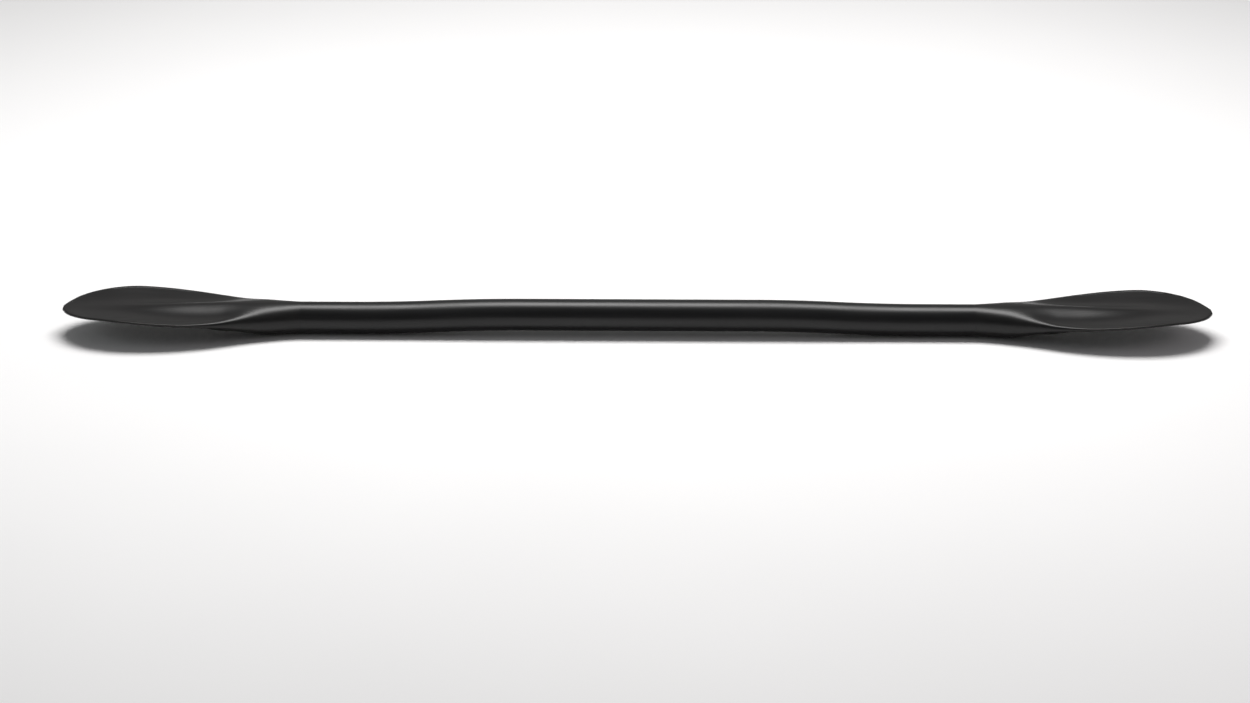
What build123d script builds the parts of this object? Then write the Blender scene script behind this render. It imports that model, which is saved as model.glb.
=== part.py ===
from build123d import *
import os
from math import atan2, cos, pi, sin

# Driving dimensions, in millimetres
OVERALL_LENGTH = 1150.0    # tip to tip
BLADE_LENGTH = 238.0       # tip to the joint with the loom
BLADE_WIDTH = 100.2        # across the widest part of a blade
BLADE_LIFT = 9.4           # tip above the axis of the loom's ends
DISH_DEPTH = 5.7           # rims above the middle of the widest section
RIDGE_WIDTH = 17.0         # over which the ridge and the keel fade into the blade
BLADE_THICKNESS = 6.8      # beside the ridge
RIM_THICKNESS = 4.6        # at the edge of the widest section
SKIN = 1.2                 # laminate wall of the blade
LOOM_DIAMETER = 32.0
LOOM_WALL = 1.5
LOOM_CROWN = 4.0           # middle of the loom above its ends
GRIP_LENGTH = 230.0        # straight middle stretch of the loom
EASE_LENGTH = 170.0        # length of each S-bend beside it
HEEL_LIFT = 0.4            # loom above the ground when the blades' heels rest on it
SPIGOT_IN_LOOM = 46.0      # spigot's length inside the loom
SPIGOT_IN_BLADE = 18.0     # spigot's length inside the blade's neck
SPIGOT_WALL = 1.5
PLUG_LENGTH = 20.0         # foam bulkhead inside each spigot
BEAD_WIDTH = 4.5           # solid rim bead, seen from above
BEAD_LENGTH = 150.0        # from the tip back along the blade
SPAR_WIDTH = 16.0
SPAR_THICKNESS = 1.6
SPAR_TIP_GAP = 34.0        # spar's end short of the tip

# Derived places
LOOM_RADIUS = LOOM_DIAMETER / 2
LOOM_BORE = LOOM_RADIUS - LOOM_WALL
AXIS_HEIGHT = LOOM_RADIUS + HEEL_LIFT
TIP_X = OVERALL_LENGTH / 2
JOINT_X = TIP_X - BLADE_LENGTH
SOCKET_X = JOINT_X + SPIGOT_IN_BLADE
NOSE_X = TIP_X - BEAD_WIDTH
REACH = BLADE_WIDTH        # larger than any blade section, for cutting tools

# Blade stations from neck to tip. Columns: share of the blade's length measured from the tip, spread of
# the mid-line, edge bulk, lift of the middle, dish, crest bulk, keel bulk. A bulk of 0 is the blade's own
# thickness and 1 is the loom's radius.
STATIONS = [
    (1.0000, 0.000, 1.000, 0.00, 0.00, 1.000, 1.000),
    (0.9300, 0.073, 0.970, 0.03, 0.00, 1.000, 1.020),
    (0.8570, 0.188, 0.890, 0.07, 0.03, 1.000, 1.080),
    (0.7860, 0.356, 0.670, 0.09, 0.26, 0.960, 0.970),
    (0.7230, 0.544, 0.416, 0.11, 0.54, 0.910, 0.910),
    (0.6550, 0.728, 0.200, 0.16, 0.75, 0.840, 0.920),
    (0.5380, 0.920, 0.044, 0.34, 0.88, 0.620, 0.650),
    (0.4080, 0.996, 0.015, 0.55, 1.00, 0.390, 0.290),
    (0.2820, 0.975, 0.000, 0.81, 0.98, 0.145, 0.065),
    (0.1900, 0.870, -0.007, 0.92, 0.84, 0.016, 0.000),
    (0.1140, 0.720, -0.015, 0.96, 0.60, -0.040, -0.040),
    (0.0590, 0.519, -0.022, 0.99, 0.35, -0.080, -0.080),
    (0.0250, 0.308, -0.030, 0.99, 0.14, -0.100, -0.100),
    (0.0065, 0.128, -0.044, 1.00, 0.03, -0.127, -0.127),
    (0.0000, 0.050, -0.073, 1.00, 0.00, -0.167, -0.167),
]
STEPS_PER_STATION = 2      # sections lofted per listed station
HALF_POINTS = 12           # intervals along half a section's outline


def mix(low, high, share):
    return low + (high - low) * share


class Section:
    """One cross-section of the blade: a dished strip, ridged above and keeled below, round at the neck."""

    def __init__(self, station):
        along, spread, edge, lift, dish, crest, keel = station
        self.x = TIP_X - along * BLADE_LENGTH
        self.spread = spread * (BLADE_WIDTH - RIM_THICKNESS) / 2
        self.edge = mix(RIM_THICKNESS / 2, LOOM_RADIUS, edge)
        self.middle = AXIS_HEIGHT + lift * BLADE_LIFT
        self.sag = dish * DISH_DEPTH
        self.crest = mix(BLADE_THICKNESS / 2, LOOM_RADIUS, crest)
        self.keel = mix(BLADE_THICKNESS / 2, LOOM_RADIUS, keel)
        self.tilt = atan2(2 * self.sag, self.spread) * (1 - self.edge / LOOM_RADIUS)

    def outline(self, angle, inset):
        """Point at an angle round the section, moved inwards by an inset."""
        turn = cos(angle)
        across = 2 * turn - turn * abs(turn)
        bulge = self.crest if sin(angle) > 0 else self.keel
        fade = (1 - across**2) / (1 + (self.spread * across / RIDGE_WIDTH)**2)**1.5
        reach = self.edge + (bulge - self.edge) * fade - inset
        lean = angle + self.tilt * across
        return (self.spread * across + reach * cos(lean),
                self.middle + self.sag * across**2 + reach * sin(lean))

    def parting(self, angle):
        """Point on the line that parts the face skin from the back skin."""
        turn = cos(angle)
        across = 2 * turn - turn * abs(turn)
        return (self.spread * across + self.edge * cos(self.tilt) * turn * abs(turn),
                self.middle + self.sag * across**2 + self.edge * sin(self.tilt) * turn**2)

    def width(self):
        """Half the section's width, seen from above."""
        return self.spread + self.edge * cos(self.tilt)


def station_at(place):
    """Station at a fractional place in the list, on a smooth curve through its neighbours."""
    row = min(int(place), len(STATIONS) - 2)
    share = place - row
    before, first, second, after = [STATIONS[min(max(row + step, 0), len(STATIONS) - 1)]
                                    for step in (-1, 0, 1, 2)]
    values = []
    for a, b, c, d in zip(before, first, second, after):
        bend = 2 * a - 5 * b + 4 * c - d
        twist = 3 * b - 3 * c + d - a
        values.append(b + share * ((c - a) + share * (bend + share * twist)) / 2)
    return values


STEP_COUNT = STEPS_PER_STATION * (len(STATIONS) - 1)
SECTIONS = [Section(station_at(step / STEPS_PER_STATION)) for step in range(STEP_COUNT + 1)]
CORE_END = next(row for row, section in enumerate(SECTIONS) if section.x > NOSE_X)
CORE_SECTIONS = [section for section in SECTIONS[:CORE_END + 1] if section.x > SOCKET_X]


def arc_points(section, start, inset=0.0):
    """Half of a section's outline, from one rim to the other."""
    steps = range(HALF_POINTS + 1)
    return [section.outline(start + pi * step / HALF_POINTS, inset) for step in steps]


def section_face(section, inset=0.0):
    """A whole section, as a face drawn from its upper and lower outlines."""
    with BuildSketch(Plane.YZ.offset(section.x)) as face:
        with BuildLine():
            Spline(*arc_points(section, 0, inset))
            Spline(*arc_points(section, pi, inset))
        make_face()
    return face.sketch


def skin_face(section, start):
    """One side of a section, closed by the parting line."""
    with BuildSketch(Plane.YZ.offset(section.x)) as face:
        with BuildLine():
            Spline(*arc_points(section, start))
            steps = range(HALF_POINTS, -1, -2)
            Spline(*[section.parting(start + pi * step / HALF_POINTS) for step in steps])
        make_face()
    return face.sketch


def tube_face(x, outer, inner=0.0):
    """Disc or ring about the axis of the loom's ends."""
    with BuildSketch(Plane.YZ.offset(x)) as face:
        with Locations((0, AXIS_HEIGHT)):
            Circle(outer)
            if inner:
                Circle(inner, mode=Mode.SUBTRACT)
    return face.sketch


def rim_zone():
    """What lies outside the rim bead's inner line, seen from above, over the bead's length."""
    start_x = TIP_X - BEAD_LENGTH
    side = [(s.x, s.width() - BEAD_WIDTH) for s in SECTIONS if start_x < s.x < NOSE_X - BEAD_WIDTH]
    side.insert(0, (start_x, side[0][1]))
    other_side = [(x, -y) for x, y in reversed(side)]
    with BuildSketch() as zone:
        with Locations((start_x, 0)):
            Rectangle(2 * BEAD_LENGTH, 2 * REACH, align=(Align.MIN, Align.CENTER))
        with BuildLine():
            Spline(*side, (NOSE_X, 0), *other_side)
            Line(other_side[-1], side[0])
        make_face(mode=Mode.SUBTRACT)
    return zone.sketch


def spar_strip():
    """The spar seen from the side, along the middle of the core."""
    along = [s for s in CORE_SECTIONS if s.x < TIP_X - SPAR_TIP_GAP]
    upper = [(s.x, s.middle + SPAR_THICKNESS / 2) for s in along]
    lower = [(s.x, s.middle - SPAR_THICKNESS / 2) for s in reversed(along)]
    with BuildSketch(Plane.XZ) as strip:
        with BuildLine():
            Spline(*upper)
            Line(upper[-1], lower[0])
            Spline(*lower)
            Line(lower[-1], upper[0])
        make_face()
    return strip.sketch


def make_loom():
    """Thin-walled tube with a straight middle and a gentle S-bend on each side."""
    crown_height = AXIS_HEIGHT + LOOM_CROWN
    ease_x = GRIP_LENGTH / 2 + EASE_LENGTH
    turn_x = GRIP_LENGTH / 2 + EASE_LENGTH / 2
    turn_height = AXIS_HEIGHT + LOOM_CROWN / 2
    with BuildPart() as loom:
        with BuildLine(Plane.XZ) as axis:
            end = Line((-JOINT_X, AXIS_HEIGHT), (-ease_x, AXIS_HEIGHT))
            lower = TangentArc(end @ 1, (-turn_x, turn_height), tangent=end % 1)
            upper = TangentArc(lower @ 1, (-GRIP_LENGTH / 2, crown_height), tangent=lower % 1)
            Line(upper @ 1, (0, crown_height))
            mirror(about=Plane.YZ)
        sweep(tube_face(-JOINT_X, LOOM_RADIUS, LOOM_BORE), path=axis.wires()[0])
    return loom


def make_skin(start):
    """One laminate skin of the right blade, from the joint to the rim bead."""
    with BuildPart() as skin:
        loft([skin_face(section, start) for section in SECTIONS])
        loft([section_face(section, SKIN) for section in CORE_SECTIONS], mode=Mode.SUBTRACT)
        extrude(tube_face(JOINT_X, LOOM_BORE), amount=SPIGOT_IN_BLADE, mode=Mode.SUBTRACT)
        extrude(rim_zone(), amount=REACH, mode=Mode.SUBTRACT)
    return skin


def make_bead():
    """Solid rounded edge round the right blade."""
    with BuildPart() as bead:
        loft([section_face(section) for section in SECTIONS])
        extrude(rim_zone(), amount=REACH, mode=Mode.INTERSECT)
    return bead


def make_core():
    """Foam core of the right blade, between the skins and inside the rim bead."""
    with BuildPart() as core:
        loft([section_face(section, SKIN) for section in CORE_SECTIONS])
        extrude(rim_zone(), amount=REACH, mode=Mode.SUBTRACT)
        extrude(spar_strip(), amount=SPAR_WIDTH / 2, both=True, mode=Mode.SUBTRACT)
    return core


def make_spar():
    """Stiff strip embedded in the middle of the right blade's core."""
    with BuildPart() as spar:
        extrude(spar_strip(), amount=SPAR_WIDTH / 2, both=True)
    return spar


def make_spigot():
    """Tube bonded half in the loom's end and half in the right blade's neck."""
    with BuildPart() as spigot:
        start_x = JOINT_X - SPIGOT_IN_LOOM
        extrude(tube_face(start_x, LOOM_BORE, LOOM_BORE - SPIGOT_WALL), amount=SOCKET_X - start_x)
    return spigot


def make_plug():
    """Foam bulkhead in the spigot, at the joint."""
    with BuildPart() as plug:
        extrude(tube_face(JOINT_X - PLUG_LENGTH / 2, LOOM_BORE - SPIGOT_WALL), amount=PLUG_LENGTH)
    return plug


def write_piece(piece, label):
    """Name a piece and write it."""
    piece.part.label = label
    export_step(piece.part, f"parts/{label}.step")


def write_pair(piece, label):
    """Write the right-hand piece and its mirror image."""
    write_piece(piece, f"right_{label}")
    with BuildPart() as image:
        mirror(piece.part, about=Plane.YZ)
    write_piece(image, f"left_{label}")


os.makedirs("parts", exist_ok=True)
write_piece(make_loom(), "loom_tube")
write_pair(make_skin(pi), "blade_back_shell")
write_pair(make_skin(0), "blade_face_shell")
write_pair(make_core(), "blade_core")
write_pair(make_spar(), "spine_spar")
write_pair(make_bead(), "rim_bead")
write_pair(make_spigot(), "neck_spigot")
write_pair(make_plug(), "neck_plug")
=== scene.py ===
import copy
import math
import bmesh
import bpy
from mathutils import Matrix, Vector


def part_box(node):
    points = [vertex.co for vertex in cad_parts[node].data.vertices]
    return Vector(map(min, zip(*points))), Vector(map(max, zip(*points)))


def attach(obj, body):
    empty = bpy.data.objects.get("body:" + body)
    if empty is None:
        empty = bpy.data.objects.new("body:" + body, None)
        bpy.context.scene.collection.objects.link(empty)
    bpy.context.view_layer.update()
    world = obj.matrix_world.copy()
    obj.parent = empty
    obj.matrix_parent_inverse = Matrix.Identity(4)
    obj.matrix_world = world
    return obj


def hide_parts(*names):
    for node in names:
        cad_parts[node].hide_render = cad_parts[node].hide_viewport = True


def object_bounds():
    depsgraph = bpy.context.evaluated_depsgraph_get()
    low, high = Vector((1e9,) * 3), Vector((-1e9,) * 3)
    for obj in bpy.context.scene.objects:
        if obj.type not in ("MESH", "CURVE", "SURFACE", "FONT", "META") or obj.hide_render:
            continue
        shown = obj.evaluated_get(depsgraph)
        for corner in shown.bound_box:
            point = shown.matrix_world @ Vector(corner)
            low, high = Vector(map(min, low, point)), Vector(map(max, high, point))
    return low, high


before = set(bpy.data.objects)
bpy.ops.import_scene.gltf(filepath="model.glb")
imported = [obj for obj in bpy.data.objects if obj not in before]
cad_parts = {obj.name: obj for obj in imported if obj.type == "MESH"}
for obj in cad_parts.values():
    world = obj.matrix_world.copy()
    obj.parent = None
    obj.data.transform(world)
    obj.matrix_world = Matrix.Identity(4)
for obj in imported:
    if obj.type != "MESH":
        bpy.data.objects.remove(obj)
cad_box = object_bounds()

# Sizes in metres, taken from the frame where it states them
LOOM_LOW, LOOM_HIGH = [Vector(corner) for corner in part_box("loom_tube")]
BEAD_LOW, BEAD_HIGH = [Vector(corner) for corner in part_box("right_rim_bead")]
PLUG_LOW, PLUG_HIGH = [Vector(corner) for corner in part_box("right_neck_plug")]
JOINT_X = LOOM_HIGH.x
TIP_X = BEAD_HIGH.x
LOOM_RADIUS = (LOOM_HIGH.y - LOOM_LOW.y) / 2
LOOM_WALL = 0.0015
AXIS_HEIGHT = (PLUG_LOW.z + PLUG_HIGH.z) / 2
LOOM_CROWN = LOOM_HIGH.z - LOOM_RADIUS - AXIS_HEIGHT
GRIP_LENGTH = 0.230
EASE_LENGTH = 0.170
BLADE_LENGTH = TIP_X - JOINT_X
BLADE_WIDTH = 0.1002
BLADE_LIFT = 0.0094
DISH_DEPTH = 0.0057
RIDGE_WIDTH = 0.017
BLADE_THICKNESS = 0.0068
RIM_THICKNESS = 0.0046
SKIN = 0.0010
BEAD_WIDTH = 0.0045
BEAD_START_X = BEAD_LOW.x
BEAD_FEATHER = 0.030
TIP_ROUND = 0.0010
NOSE_BLEND = 4 * BEAD_WIDTH   # over which the rim bead closes round the tip
NOSE_POINT = 0.004            # share of the last section left at the very tip
THINNEST = 0.2                # share of a section that an inset always leaves

# Mesh densities
LOOM_RINGS = 320
LOOM_SIDES = 128
STATION_STEPS = 16
HALF_SIDES = 72
BEAD_SIDES = 20
NOSE_STEPS = 8
BEAD_SEARCH_STEPS = 24
WELD = 1e-7
SHARP_ANGLE = math.radians(50)

# Stage
CLIP_RANGE = (0.05, 100)
FLOOR_HALF = 12.0
FLOOR_DROP = -0.0003
WORLD_STRENGTH = 0.16
CAMERA_ELEVATION = 22.0
CAMERA_LENS = 85.0
CAMERA_DISTANCE = 2.957
CAMERA_ROLL = 0.24
FRAME_SHIFT = (-0.010, -0.0275)

# CAD nodes that stay as they are, inside, and their material slots
HIDDEN_SLOTS = {
    "blade_core": "core_foam",
    "spine_spar": "spar_carbon",
    "neck_spigot": "spigot_laminate",
    "neck_plug": "plug_foam",
}

# Blade stations from neck to tip. Columns: share of the blade's length measured from the tip, spread of
# the mid-line, edge bulk, lift of the middle, dish, crest bulk, keel bulk. A bulk of 0 is the blade's own
# thickness and 1 is the loom's radius.
STATIONS = [
    (1.0000, 0.000, 1.000, 0.00, 0.00, 1.000, 1.000),
    (0.9300, 0.073, 0.970, 0.03, 0.00, 1.000, 1.020),
    (0.8570, 0.188, 0.890, 0.07, 0.03, 1.000, 1.080),
    (0.7860, 0.356, 0.670, 0.09, 0.26, 0.960, 0.970),
    (0.7230, 0.544, 0.416, 0.11, 0.54, 0.910, 0.910),
    (0.6550, 0.728, 0.200, 0.16, 0.75, 0.840, 0.920),
    (0.5380, 0.920, 0.044, 0.34, 0.88, 0.620, 0.650),
    (0.4080, 0.996, 0.015, 0.55, 1.00, 0.390, 0.290),
    (0.2820, 0.975, 0.000, 0.81, 0.98, 0.145, 0.065),
    (0.1900, 0.870, -0.007, 0.92, 0.84, 0.016, 0.000),
    (0.1140, 0.720, -0.015, 0.96, 0.60, -0.040, -0.040),
    (0.0590, 0.519, -0.022, 0.99, 0.35, -0.080, -0.080),
    (0.0250, 0.308, -0.030, 0.99, 0.14, -0.100, -0.100),
    (0.0065, 0.128, -0.044, 1.00, 0.03, -0.127, -0.127),
    (0.0000, 0.050, -0.073, 1.00, 0.00, -0.167, -0.167),
]


def mix(low, high, share):
    return low + (high - low) * share


def smooth(share):
    share = min(max(share, 0.0), 1.0)
    return share * share * (3 - 2 * share)


def station_at(place):
    """Station at a fractional place in the list, on a smooth curve through its neighbours."""
    row = min(int(place), len(STATIONS) - 2)
    share = place - row
    before, first, second, after = [STATIONS[min(max(row + step, 0), len(STATIONS) - 1)]
                                    for step in (-1, 0, 1, 2)]
    values = []
    for a, b, c, d in zip(before, first, second, after):
        bend = 2 * a - 5 * b + 4 * c - d
        twist = 3 * b - 3 * c + d - a
        values.append(b + share * ((c - a) + share * (bend + share * twist)) / 2)
    return values


class Section:
    """One cross-section of the blade: a dished strip, ridged above and keeled below, round at the neck."""

    def __init__(self, station):
        along, spread, edge, lift, dish, crest, keel = station
        self.x = TIP_X - along * BLADE_LENGTH
        self.shrink = 1.0
        self.spread = spread * (BLADE_WIDTH - RIM_THICKNESS) / 2
        self.edge = mix(RIM_THICKNESS / 2, LOOM_RADIUS, edge)
        self.middle = AXIS_HEIGHT + lift * BLADE_LIFT
        self.sag = dish * DISH_DEPTH
        self.crest = mix(BLADE_THICKNESS / 2, LOOM_RADIUS, crest)
        self.keel = mix(BLADE_THICKNESS / 2, LOOM_RADIUS, keel)
        self.tilt = math.atan2(2 * self.sag, self.spread) * (1 - self.edge / LOOM_RADIUS)
        self.bead_angle = self.find_bead_angle()

    def outline(self, angle, inset=0.0):
        """Point (y, z) at an angle round the section, moved inwards by an inset."""
        turn = math.cos(angle)
        across = 2 * turn - turn * abs(turn)
        bulge = self.crest if math.sin(angle) > 0 else self.keel
        fade = (1 - across**2) / (1 + (self.spread * across / RIDGE_WIDTH)**2)**1.5
        reach = self.edge + (bulge - self.edge) * fade
        reach = max(reach - inset, THINNEST * reach)
        lean = angle + self.tilt * across
        y = self.spread * across + reach * math.cos(lean)
        z = self.sag * across**2 + reach * math.sin(lean)
        return y * self.shrink, self.middle + z * self.shrink

    def find_bead_angle(self):
        """Angle from the rim at which the bead gives way to the skins; 90 degrees is all bead."""
        if self.x > TIP_X - BEAD_WIDTH:
            return math.pi / 2
        width = self.spread + self.edge * math.cos(self.tilt)
        feather = smooth((self.x - BEAD_START_X) / BEAD_FEATHER)
        nose = smooth((TIP_X - BEAD_WIDTH - self.x) / NOSE_BLEND)
        limit = width - BEAD_WIDTH * feather
        low, high = 0.0, math.pi / 2
        for _ in range(BEAD_SEARCH_STEPS):
            middle = (low + high) / 2
            if self.outline(middle)[0] > limit:
                low = middle
            else:
                high = middle
        return mix(math.pi / 2, low, nose) if feather > 0 else 0.0


def blade_sections():
    """Closely spaced sections from the joint to the tip, which ends in a small round nose."""
    count = STATION_STEPS * (len(STATIONS) - 1)
    sections = [Section(station_at(step / STATION_STEPS)) for step in range(count + 1)]
    body = [section for section in sections if section.x < TIP_X - TIP_ROUND]
    last = body[-1]
    for step in range(1, NOSE_STEPS + 1):
        turn = step / NOSE_STEPS * math.pi / 2
        cap = copy.copy(last)
        cap.x = mix(last.x, TIP_X, math.sin(turn))
        cap.shrink = max(math.cos(turn), NOSE_POINT)
        body.append(cap)
    return body


def add_mesh(name, surface, side):
    """Object from a bmesh drawn for the right-hand side; side is -1 for its mirror image."""
    if side < 0:
        for vertex in surface.verts:
            vertex.co.x = -vertex.co.x
        bmesh.ops.reverse_faces(surface, faces=surface.faces)
    for edge in surface.edges:
        if edge.is_manifold:
            edge.smooth = edge.calc_face_angle() < SHARP_ANGLE
    mesh = bpy.data.meshes.new(name)
    surface.to_mesh(mesh)
    surface.free()
    mesh.shade_smooth()
    piece = bpy.data.objects.new(name, mesh)
    bpy.context.collection.objects.link(piece)
    return piece


def grid_faces(surface, grid, flip=False):
    """Quads between neighbouring rows of a grid of vertices."""
    for row, following in zip(grid, grid[1:]):
        for step in range(len(row) - 1):
            corners = [row[step], row[step + 1], following[step + 1], following[step]]
            distinct = list(dict.fromkeys(corners))
            if len(distinct) > 2:
                surface.faces.new(reversed(distinct) if flip else distinct)


def patch_shell(sections, angle_rows, inset):
    """Closed shell under one patch of the blade: outer skin, inner skin and the walls between."""
    surface = bmesh.new()
    outer, inner = [], []
    for section, angles in zip(sections, angle_rows):
        outer.append([surface.verts.new((section.x, *section.outline(angle))) for angle in angles])
        inner.append([surface.verts.new((section.x, *section.outline(angle, inset))) for angle in angles])
    grid_faces(surface, outer, flip=True)
    grid_faces(surface, inner)
    grid_faces(surface, [outer[0], inner[0]])
    grid_faces(surface, [outer[-1], inner[-1]], flip=True)
    grid_faces(surface, [[row[0] for row in outer], [row[0] for row in inner]], flip=True)
    grid_faces(surface, [[row[-1] for row in outer], [row[-1] for row in inner]])
    bmesh.ops.remove_doubles(surface, verts=surface.verts, dist=WELD)
    bmesh.ops.dissolve_degenerate(surface, edges=surface.edges, dist=WELD)
    bmesh.ops.recalc_face_normals(surface, faces=surface.faces)
    return surface


def spaced(start, end, count):
    return [mix(start, end, step / count) for step in range(count + 1)]


def eased(start, end, count):
    """Angles that crowd towards both ends, where the rim is tightly rounded."""
    return [mix(start, end, (1 - math.cos(math.pi * step / count)) / 2) for step in range(count + 1)]


def blade_patches():
    """Name, replaced node suffix, material slot and closed shell of each patch of the right blade."""
    sections = blade_sections()
    beads = [section.bead_angle for section in sections]
    skin_end = beads.index(math.pi / 2) + 1
    bead_start = next(row for row, angle in enumerate(beads) if angle > 0) - 1
    skins, rims = sections[:skin_end], sections[bead_start:]
    face = [eased(s.bead_angle, math.pi - s.bead_angle, HALF_SIDES) for s in skins]
    back = [eased(math.pi + s.bead_angle, 2 * math.pi - s.bead_angle, HALF_SIDES) for s in skins]
    far = [spaced(-s.bead_angle, s.bead_angle, BEAD_SIDES) for s in rims]
    near = [spaced(math.pi - s.bead_angle, math.pi + s.bead_angle, BEAD_SIDES) for s in rims]
    return [
        ("face_skin", "blade_face_shell", "blade_laminate", patch_shell(skins, face, SKIN)),
        ("back_skin", "blade_back_shell", "blade_laminate", patch_shell(skins, back, SKIN)),
        ("far_rim", "rim_bead", "rim_resin", patch_shell(rims, far, SKIN)),
        ("near_rim", "rim_bead", "rim_resin", patch_shell(rims, near, SKIN)),
    ]


def loom_height(x):
    """Height of the loom's axis: a straight middle and an S-bend made of two arcs on each side."""
    eased_part = (abs(x) - GRIP_LENGTH / 2) / EASE_LENGTH
    share = min(max(eased_part, 0.0), 1.0)
    drop = 2 * share**2 if share < 0.5 else 1 - 2 * (1 - share)**2
    return AXIS_HEIGHT + LOOM_CROWN * (1 - drop)


def loom_surface():
    """Closed tube along the crowned axis, with its bore."""
    surface = bmesh.new()
    outer, inner = [], []
    for x in spaced(-JOINT_X, JOINT_X, LOOM_RINGS):
        height = loom_height(x)
        for grid, radius in ((outer, LOOM_RADIUS), (inner, LOOM_RADIUS - LOOM_WALL)):
            ring = []
            for angle in spaced(0, 2 * math.pi, LOOM_SIDES)[:-1]:
                y, z = radius * math.cos(angle), height + radius * math.sin(angle)
                ring.append(surface.verts.new((x, y, z)))
            grid.append(ring + ring[:1])
    grid_faces(surface, outer, flip=True)
    grid_faces(surface, inner)
    grid_faces(surface, [outer[0], inner[0]])
    grid_faces(surface, [outer[-1], inner[-1]], flip=True)
    bmesh.ops.recalc_face_normals(surface, faces=surface.faces)
    return surface


class Graph:
    """Small helper for building one node material."""

    def __init__(self, name):
        self.material = bpy.data.materials.new(name)
        self.material.use_nodes = True
        self.tree = self.material.node_tree
        self.shader = self.tree.nodes["Principled BSDF"]
        self.place = self.node("ShaderNodeTexCoord").outputs["Object"]

    def node(self, kind, **values):
        made = self.tree.nodes.new(kind)
        for key, value in values.items():
            setattr(made, key, value)
        return made

    def link(self, source, target):
        self.tree.links.new(source, target)

    def noise(self, stretch, detail, roughness=0.5):
        """Noise whose grain is stretched by cycles per metre along each axis."""
        mapping = self.node("ShaderNodeMapping")
        mapping.inputs["Scale"].default_value = stretch
        texture = self.node("ShaderNodeTexNoise")
        texture.inputs["Scale"].default_value = 1.0
        texture.inputs["Detail"].default_value = detail
        texture.inputs["Roughness"].default_value = roughness
        self.link(self.place, mapping.inputs["Vector"])
        self.link(mapping.outputs["Vector"], texture.inputs["Vector"])
        return texture.outputs["Fac"]

    def remap(self, source, low, high, from_low=0.3, from_high=0.7):
        ranged = self.node("ShaderNodeMapRange")
        ranged.inputs["From Min"].default_value = from_low
        ranged.inputs["From Max"].default_value = from_high
        ranged.inputs["To Min"].default_value = low
        ranged.inputs["To Max"].default_value = high
        self.link(source, ranged.inputs["Value"])
        return ranged.outputs["Result"]

    def colours(self, source, *stops):
        ramp = self.node("ShaderNodeValToRGB")
        elements = ramp.color_ramp.elements
        while len(elements) < len(stops):
            elements.new(0.5)
        for element, (position, colour) in zip(elements, stops):
            element.position = position
            element.color = (*colour, 1.0)
        self.link(source, ramp.inputs["Fac"])
        return ramp.outputs["Color"]

    def bumps(self, *layers):
        """Stack of bump layers, each a height, a depth in metres and a strength."""
        normal = None
        for height, depth, strength in layers:
            bump = self.node("ShaderNodeBump")
            bump.inputs["Distance"].default_value = depth
            bump.inputs["Strength"].default_value = strength
            self.link(height, bump.inputs["Height"])
            if normal:
                self.link(normal, bump.inputs["Normal"])
            normal = bump.outputs["Normal"]
        self.link(normal, self.shader.inputs["Normal"])

    def set(self, **values):
        for key, value in values.items():
            self.shader.inputs[key.replace("_", " ")].default_value = value


def lacquer(name, dark, light, roughness, specular, fibre):
    """Satin black lacquer over laminate: faint tows along the part, orange peel and fine handling wear."""
    graph = Graph(name)
    tows = graph.noise((9, 420, 420), 3)
    cloud = graph.noise((14, 14, 14), 4)
    peel = graph.noise((900, 900, 900), 2)
    rub = graph.noise((60, 900, 900), 6, 0.7)
    graph.link(graph.colours(tows, (0.32, dark), (0.68, light)), graph.shader.inputs["Base Color"])
    graph.link(graph.remap(cloud, roughness - 0.03, roughness + 0.04), graph.shader.inputs["Roughness"])
    graph.bumps((tows, 0.00012, fibre), (peel, 0.00003, 0.25), (rub, 0.00002, 0.15))
    graph.set(Specular_IOR_Level=specular)
    return graph.material


def foam(name, dark, light, cell):
    """Closed-cell foam: fine cells and a slightly uneven colour."""
    graph = Graph(name)
    cloud = graph.noise((40, 40, 40), 3)
    cells = graph.node("ShaderNodeTexVoronoi")
    cells.inputs["Scale"].default_value = 1 / cell
    graph.link(graph.place, cells.inputs["Vector"])
    graph.link(graph.colours(cloud, (0.3, dark), (0.7, light)), graph.shader.inputs["Base Color"])
    graph.link(graph.remap(cloud, 0.82, 0.94), graph.shader.inputs["Roughness"])
    graph.bumps((cells.outputs["Distance"], 0.0002, 0.6))
    return graph.material


def strip_carbon(name, dark, light, roughness):
    """Bare pultruded or wound laminate: long fine tows and a dull resin film."""
    graph = Graph(name)
    tows = graph.noise((12, 1500, 1500), 4)
    film = graph.noise((120, 120, 120), 3)
    graph.link(graph.colours(tows, (0.3, dark), (0.7, light)), graph.shader.inputs["Base Color"])
    graph.link(graph.remap(film, roughness - 0.06, roughness + 0.08), graph.shader.inputs["Roughness"])
    graph.bumps((tows, 0.00005, 0.4))
    return graph.material


def dress(piece, material):
    piece.data.materials.clear()
    piece.data.materials.append(material)


def add_visible_pieces(materials):
    """Loom, skins and rims, each riding on the one body and standing for its CAD node."""
    loom = add_mesh("loom", loom_surface(), 1)
    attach(loom, "root")
    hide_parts("loom_tube")
    dress(loom, materials["loom_laminate"])
    for name, side in (("left", -1), ("right", 1)):
        for part, node, slot, surface in blade_patches():
            piece = add_mesh(f"{name}_{part}", surface, side)
            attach(piece, "root")
            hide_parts(f"{name}_{node}")
            dress(piece, materials[slot])


def dress_hidden_nodes(materials):
    for node, slot in HIDDEN_SLOTS.items():
        for side in ("left", "right"):
            dress(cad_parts[f"{side}_{node}"], materials[slot])


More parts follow.
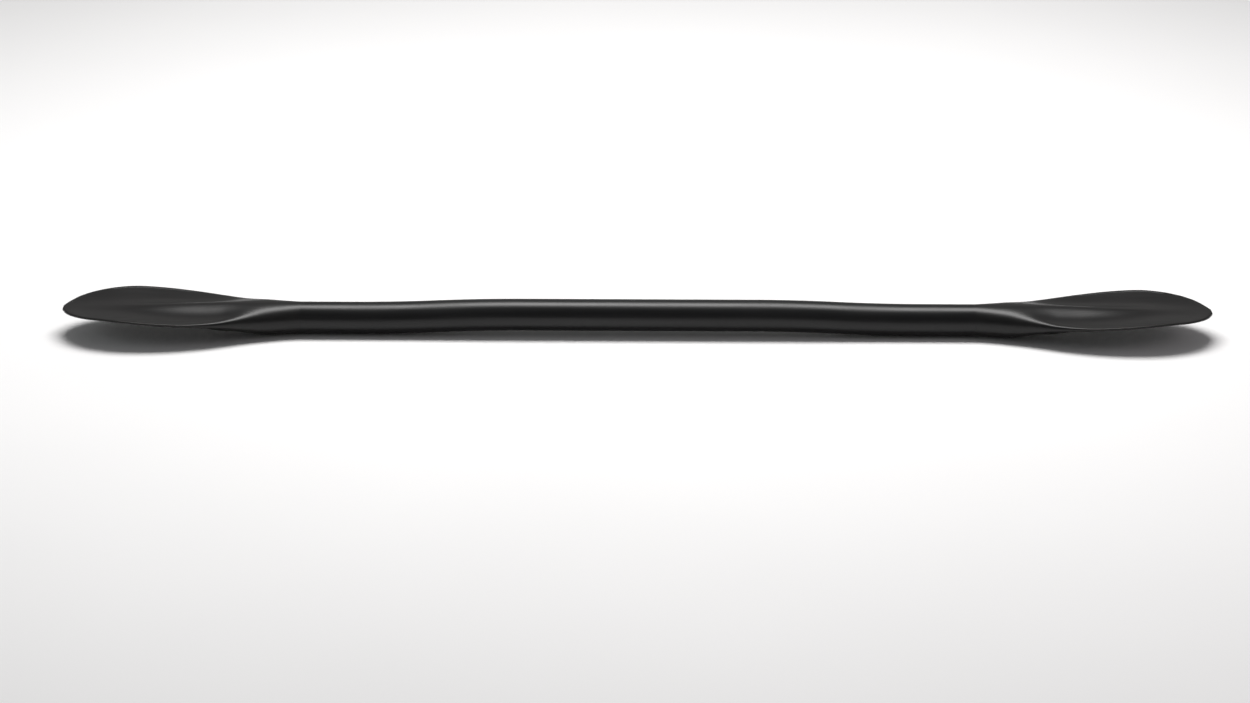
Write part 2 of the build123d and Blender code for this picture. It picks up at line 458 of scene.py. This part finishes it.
def add_floor():
    """Plain pale ground under the heels."""
    surface = bmesh.new()
    bmesh.ops.create_grid(surface, x_segments=1, y_segments=1, size=FLOOR_HALF)
    mesh = bpy.data.meshes.new("floor")
    surface.to_mesh(mesh)
    surface.free()
    floor = bpy.data.objects.new("floor", mesh)
    bpy.context.collection.objects.link(floor)
    floor.location.z = FLOOR_DROP
    graph = Graph("floor_paint")
    tone = graph.noise((3, 3, 3), 2)
    graph.link(graph.colours(tone, (0.2, (0.86, 0.86, 0.86)), (0.8, (0.88, 0.88, 0.88))),
               graph.shader.inputs["Base Color"])
    graph.set(Roughness=0.9, Specular_IOR_Level=0.1)
    dress(floor, graph.material)


def add_light(name, place, aim, size, power, colour):
    """Soft rectangular light, its long side along X, aimed at a point."""
    lamp = bpy.data.lights.new(name, "AREA")
    lamp.shape = "RECTANGLE"
    lamp.size, lamp.size_y = size
    lamp.energy = power
    lamp.color = colour
    light = bpy.data.objects.new(name, lamp)
    light.location = place
    light.rotation_euler = (Vector(aim) - Vector(place)).to_track_quat("-Z", "Y").to_euler()
    bpy.context.collection.objects.link(light)


def add_lights():
    add_light("overhead_softbox", (0.0, 0.45, 1.80), (0, 0.15, 0), (1.5, 0.8), 46, (1, 0.99, 0.985))
    add_light("left_fill", (-2.2, -0.6, 1.2), (-0.4, 0, 0), (1.0, 0.8), 2, (0.9, 0.96, 1.0))
    add_light("right_fill", (2.2, -0.6, 1.2), (0.4, 0, 0), (1.0, 0.8), 3, (1.0, 0.9, 0.96))
    add_light("back_glow", (0.0, 3.2, 1.1), (0, 0, 0), (3.6, 1.0), 2.5, (1.0, 0.96, 0.92))
    world = bpy.data.worlds.new("studio")
    bpy.context.scene.world = world
    world.use_nodes = True
    background = world.node_tree.nodes["Background"]
    background.inputs["Color"].default_value = (1, 1, 1, 1)
    background.inputs["Strength"].default_value = WORLD_STRENGTH


def add_camera():
    """Low, long-lens view across the paddle, a little above its rims."""
    rise = math.radians(CAMERA_ELEVATION)
    low, high = cad_box
    centre = (low + high) / 2
    back = Vector((0, -math.cos(rise), math.sin(rise)))
    camera = bpy.data.objects.new("camera", bpy.data.cameras.new("camera"))
    camera.data.lens = CAMERA_LENS
    camera.data.shift_x = FRAME_SHIFT[0]
    camera.data.shift_y = FRAME_SHIFT[1]
    camera.data.clip_start, camera.data.clip_end = CLIP_RANGE
    camera.data.dof.use_dof = False
    aim = (-back).to_track_quat("-Z", "Y").to_matrix().to_4x4()
    roll = Matrix.Rotation(math.radians(CAMERA_ROLL), 4, "Z")
    camera.matrix_world = Matrix.Translation(centre + back * CAMERA_DISTANCE) @ aim @ roll
    bpy.context.collection.objects.link(camera)
    bpy.context.scene.camera = camera


materials = {
    "loom_laminate": lacquer("loom_laminate", (0.0028, 0.0028, 0.0031), (0.0060, 0.0059, 0.0064),
            0.34, 0.34, 0.10),
    "blade_laminate": lacquer("blade_laminate", (0.0030, 0.0029, 0.0030), (0.0065, 0.0062, 0.0062),
            0.36, 0.34, 0.10),
    "rim_resin": lacquer("rim_resin", (0.0035, 0.0034, 0.0034), (0.0075, 0.0072, 0.0070),
            0.38, 0.34, 0.05),
    "core_foam": foam("core_foam", (0.62, 0.57, 0.46), (0.76, 0.72, 0.60), 0.0009),
    "plug_foam": foam("plug_foam", (0.18, 0.18, 0.20), (0.30, 0.30, 0.33), 0.0012),
    "spar_carbon": strip_carbon("spar_carbon", (0.012, 0.012, 0.014), (0.035, 0.035, 0.038), 0.42),
    "spigot_laminate": strip_carbon("spigot_laminate", (0.010, 0.010, 0.012), (0.024, 0.024, 0.027), 0.55),
}
add_visible_pieces(materials)
dress_hidden_nodes(materials)
add_floor()
add_lights()
add_camera()
bpy.context.scene.view_settings.view_transform = "Standard"
